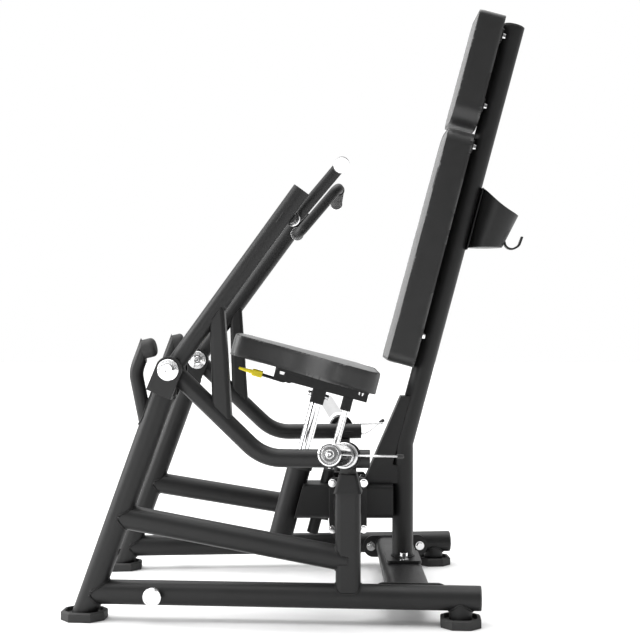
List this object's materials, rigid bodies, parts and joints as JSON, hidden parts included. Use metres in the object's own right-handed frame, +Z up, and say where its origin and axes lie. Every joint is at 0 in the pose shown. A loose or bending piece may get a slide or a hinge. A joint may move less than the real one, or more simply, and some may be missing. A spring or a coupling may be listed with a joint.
{
  "type": "seated chest press machine",
  "caption": "Plate-loaded seated chest press: tubular frame, leaning padded back rest, height-adjustable seat, two swinging press arms with plate horns and grips.",
  "frame": {"origin": "on the floor under the middle of the bounding box; X = 0 halfway between the foremost and rearmost point, Y = 0 on the mid-plane", "axes": "+X towards the back rest (the user faces -X), +Y towards the user's right, +Z up"},
  "size_m": [1.1935, 1.4338, 1.5631],
  "materials": {
    "frame_paint": "fine-textured satin powder coat",
    "upholstery": "grained synthetic leather",
    "chrome": "polished",
    "steel": "plain",
    "rubber": "matt moulded",
    "cap_plastic": "fine-grained",
    "band_peg": "painted with a bright disc",
    "lever_plastic": "moulded yellow"
  },
  "bodies": {
    "frame": {"left_leg": "frame_paint", "left_rail": "frame_paint", "left_brace": "frame_paint", "left_upright": "frame_paint", "left_clevis": "frame_paint", "right_leg": "frame_paint", "right_rail": "frame_paint", "right_brace": "frame_paint", "right_upright": "frame_paint", "right_clevis": "frame_paint", "pivot_pins": "chrome", "stop_tubes": "frame_paint", "rubber_stops": "rubber", "rubber_feet": "rubber", "saddle_caps": "frame_paint", "central_beam": "frame_paint", "seat_base_tube": "frame_paint", "seat_guide_tube": "frame_paint", "seat_bushes": "cap_plastic", "back_post": "frame_paint", "gusset": "frame_paint", "cross_tubes": "frame_paint", "rear_cross_beam": "frame_paint", "frame_bolts": "chrome", "tube_caps": "cap_plastic", "band_pegs": "band_peg", "back_pad": "upholstery", "head_pad": "upholstery", "pad_brackets": "frame_paint", "bottle_holder": "frame_paint", "towel_hook": "frame_paint"},
    "left_arm": {"left_arm_hub": "frame_paint", "left_hub_bearings": "steel", "left_arm_upper_tube": "frame_paint", "left_arm_lower_tube": "frame_paint", "left_arm_strut": "frame_paint", "left_handle": "frame_paint", "left_grip": "rubber", "left_handle_rings": "chrome", "left_plate_horn": "chrome"},
    "right_arm": {"right_arm_hub": "frame_paint", "right_hub_bearings": "steel", "right_arm_upper_tube": "frame_paint", "right_arm_lower_tube": "frame_paint", "right_arm_strut": "frame_paint", "right_handle": "frame_paint", "right_grip": "rubber", "right_handle_rings": "chrome", "right_plate_horn": "chrome"},
    "left_collar": {"left_spring_collar": "chrome"},
    "right_collar": {"right_spring_collar": "chrome"},
    "seat": {"seat_pad": "upholstery", "seat_bracket": "frame_paint", "seat_bolts": "chrome", "post_sockets": "frame_paint", "seat_post": "chrome", "guide_rod": "chrome"},
    "lever": {"seat_lever": "frame_paint", "lever_grip": "lever_plastic"},
    "release_rod": {"release_rod": "steel"}
  },
  "joints": [
    {"name": "left_arm_swing", "type": "hinge", "parent": "frame", "child": "left_arm", "pos_m": [-0.3227, -0.29542, 0.6165], "axis": [-0.0741, -0.9973, 0], "range_deg": [0, 51.7]},
    {"name": "left_collar_slide", "type": "slide", "parent": "left_arm", "child": "left_collar", "axis": [-0.1196, -0.9842, 0.1305], "range_m": [0, 0.295]},
    {"name": "right_arm_swing", "type": "hinge", "parent": "frame", "child": "right_arm", "pos_m": [-0.3227, 0.29542, 0.6165], "axis": [0.0741, -0.9973, 0], "range_deg": [0, 51.7]},
    {"name": "right_collar_slide", "type": "slide", "parent": "right_arm", "child": "right_collar", "axis": [-0.1196, 0.9842, 0.1305], "range_m": [0, 0.295]},
    {"name": "seat_height", "type": "slide", "parent": "frame", "child": "seat", "axis": [0.2588, 0, 0.9659], "range_m": [-0.145, 0.035]},
    {"name": "seat_lever", "type": "hinge", "parent": "seat", "child": "lever", "pos_m": [-0.04219, 0, 0.5762], "axis": [0, 1, 0], "range_deg": [0, 6], "stiffness_Nm_per_rad": 4, "springref_deg": -11.46},
    {"name": "release_rod_travel", "type": "slide", "parent": "seat", "child": "release_rod", "axis": [-0.2588, 0, -0.9659], "range_m": [0, 0.012]}
  ],
  "couplings": [
    {"joint": "release_rod_travel", "follows": "seat_lever", "m_per_rad": 0.11}
  ]
}
